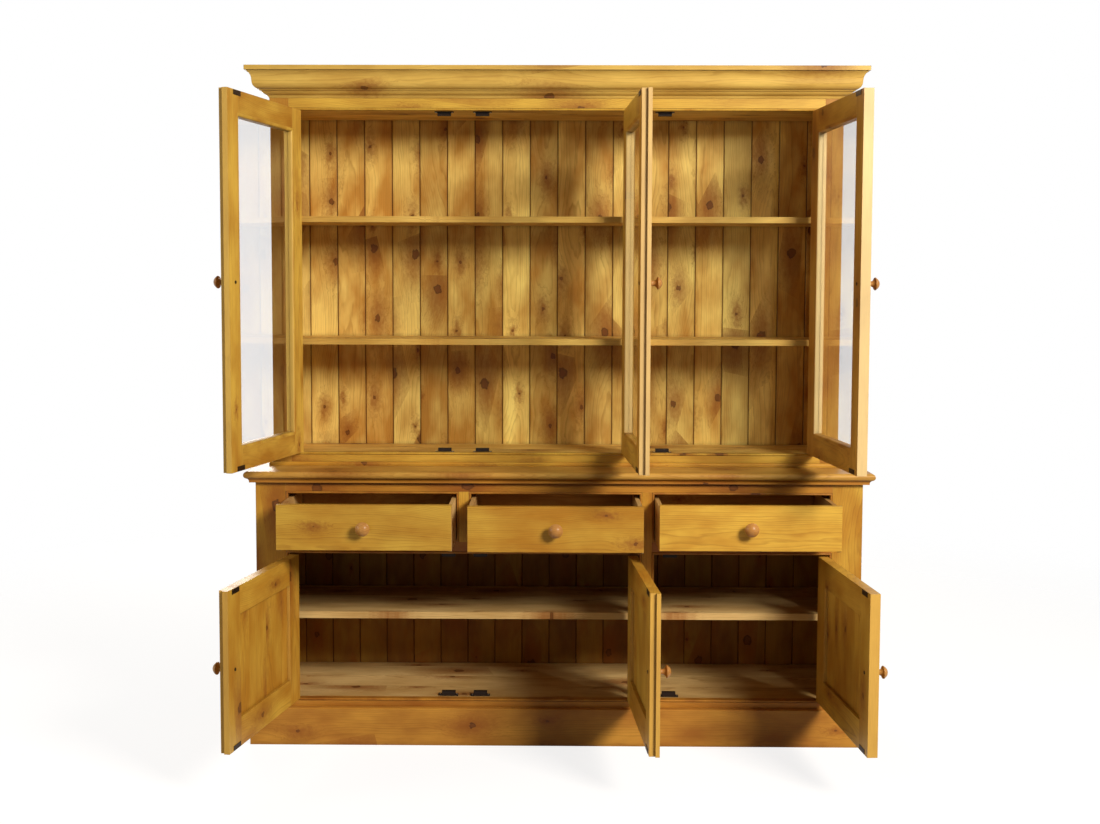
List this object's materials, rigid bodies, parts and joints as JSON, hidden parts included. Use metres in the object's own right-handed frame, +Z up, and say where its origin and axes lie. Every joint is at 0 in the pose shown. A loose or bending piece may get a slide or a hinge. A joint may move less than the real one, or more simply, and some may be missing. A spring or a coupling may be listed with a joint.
{
  "type": "china cabinet",
  "caption": "Glazed pine china cabinet: a shallow shelved hutch with hinged glass doors on a deeper base with sliding drawers over hinged panelled doors.",
  "frame": {"origin": "on the floor, at the middle of the base's width, in the underside of the front plinth board", "axes": "+X to the right seen from the front, +Y to the back, +Z up"},
  "size_m": [1.8345, 0.9326, 1.987],
  "materials": {
    "waxed_pine": "waxed honey-brown pine",
    "back_pine": "waxed knotty pine boards",
    "shelf_pine": "worn waxed pine",
    "drawer_pine": "pale unwaxed pine",
    "inner_pine": "bare sawn pine",
    "window_glass": "clear sheet",
    "dark_metal": "dark bronzed",
    "hinge_steel": "dark bronzed",
    "brown_plastic": "dark brown",
    "screw_steel": "bright plated"
  },
  "bodies": {
    "cabinet": {"base_sides": "waxed_pine", "base_floor": "shelf_pine", "base_shelf": "shelf_pine", "base_back_boards": "back_pine", "base_stiles": "waxed_pine", "base_rails": "waxed_pine", "plinth": "waxed_pine", "worktop": "waxed_pine", "worktop_moulding": "waxed_pine", "hutch_sides": "waxed_pine", "hutch_floor": "shelf_pine", "hutch_top_board": "shelf_pine", "hutch_shelves": "shelf_pine", "hutch_back_boards": "back_pine", "hutch_stiles": "waxed_pine", "hutch_rails": "waxed_pine", "hutch_foot_moulding": "waxed_pine", "cornice": "waxed_pine", "drawer_runners": "inner_pine", "frame_hinges": "hinge_steel", "base_frame_beads": "waxed_pine", "hutch_frame_beads": "waxed_pine", "catch_screws": "screw_steel", "magnetic_catches": "brown_plastic"},
    "lower_left_door": {"lower_left_door_panel": "waxed_pine", "lower_left_door_frame": "waxed_pine", "lower_left_door_knob": "waxed_pine", "lower_left_door_hardware": "dark_metal"},
    "lower_middle_door": {"lower_middle_door_panel": "waxed_pine", "lower_middle_door_frame": "waxed_pine", "lower_middle_door_knob": "waxed_pine", "lower_middle_door_hardware": "dark_metal"},
    "lower_right_door": {"lower_right_door_panel": "waxed_pine", "lower_right_door_frame": "waxed_pine", "lower_right_door_knob": "waxed_pine", "lower_right_door_hardware": "dark_metal"},
    "upper_left_door": {"upper_left_door_glass": "window_glass", "upper_left_door_glazing_beads": "waxed_pine", "upper_left_door_frame": "waxed_pine", "upper_left_door_knob": "waxed_pine", "upper_left_door_hardware": "dark_metal"},
    "upper_middle_door": {"upper_middle_door_glass": "window_glass", "upper_middle_door_glazing_beads": "waxed_pine", "upper_middle_door_frame": "waxed_pine", "upper_middle_door_knob": "waxed_pine", "upper_middle_door_hardware": "dark_metal"},
    "upper_right_door": {"upper_right_door_glass": "window_glass", "upper_right_door_glazing_beads": "waxed_pine", "upper_right_door_frame": "waxed_pine", "upper_right_door_knob": "waxed_pine", "upper_right_door_hardware": "dark_metal"},
    "left_drawer": {"left_drawer_front": "waxed_pine", "left_drawer_box": "drawer_pine", "left_drawer_knob": "waxed_pine"},
    "middle_drawer": {"middle_drawer_front": "waxed_pine", "middle_drawer_box": "drawer_pine", "middle_drawer_knob": "waxed_pine"},
    "right_drawer": {"right_drawer_front": "waxed_pine", "right_drawer_box": "drawer_pine", "right_drawer_knob": "waxed_pine"}
  },
  "joints": [
    {"name": "lower_left_door_hinge", "type": "hinge", "parent": "cabinet", "child": "lower_left_door", "pos_m": [-0.7895, 0.005, 0.35], "axis": [0, 0, -1], "range_deg": [-100.5, 9.5]},
    {"name": "lower_middle_door_hinge", "type": "hinge", "parent": "cabinet", "child": "lower_middle_door", "pos_m": [0.2355, 0.005, 0.35], "axis": [0, 0, 1], "range_deg": [-93.3, 16.7]},
    {"name": "lower_right_door_hinge", "type": "hinge", "parent": "cabinet", "child": "lower_right_door", "pos_m": [0.7895, 0.005, 0.35], "axis": [0, 0, 1], "range_deg": [-94.3, 15.7]},
    {"name": "upper_left_door_hinge", "type": "hinge", "parent": "cabinet", "child": "upper_left_door", "pos_m": [-0.7935, 0.13, 1.3565], "axis": [0, 0, -1], "range_deg": [-101.9, 8.1]},
    {"name": "upper_middle_door_hinge", "type": "hinge", "parent": "cabinet", "child": "upper_middle_door", "pos_m": [0.2195, 0.13, 1.3565], "axis": [0, 0, 1], "range_deg": [-92.5, 17.5]},
    {"name": "upper_right_door_hinge", "type": "hinge", "parent": "cabinet", "child": "upper_right_door", "pos_m": [0.7735, 0.13, 1.3565], "axis": [0, 0, 1], "range_deg": [-94.6, 15.4]},
    {"name": "left_drawer_slide", "type": "slide", "parent": "cabinet", "child": "left_drawer", "axis": [0, -1, 0], "range_m": [-0.195, 0.105]},
    {"name": "middle_drawer_slide", "type": "slide", "parent": "cabinet", "child": "middle_drawer", "axis": [0, -1, 0], "range_m": [-0.213, 0.087]},
    {"name": "right_drawer_slide", "type": "slide", "parent": "cabinet", "child": "right_drawer", "axis": [0, -1, 0], "range_m": [-0.183, 0.117]}
  ]
}
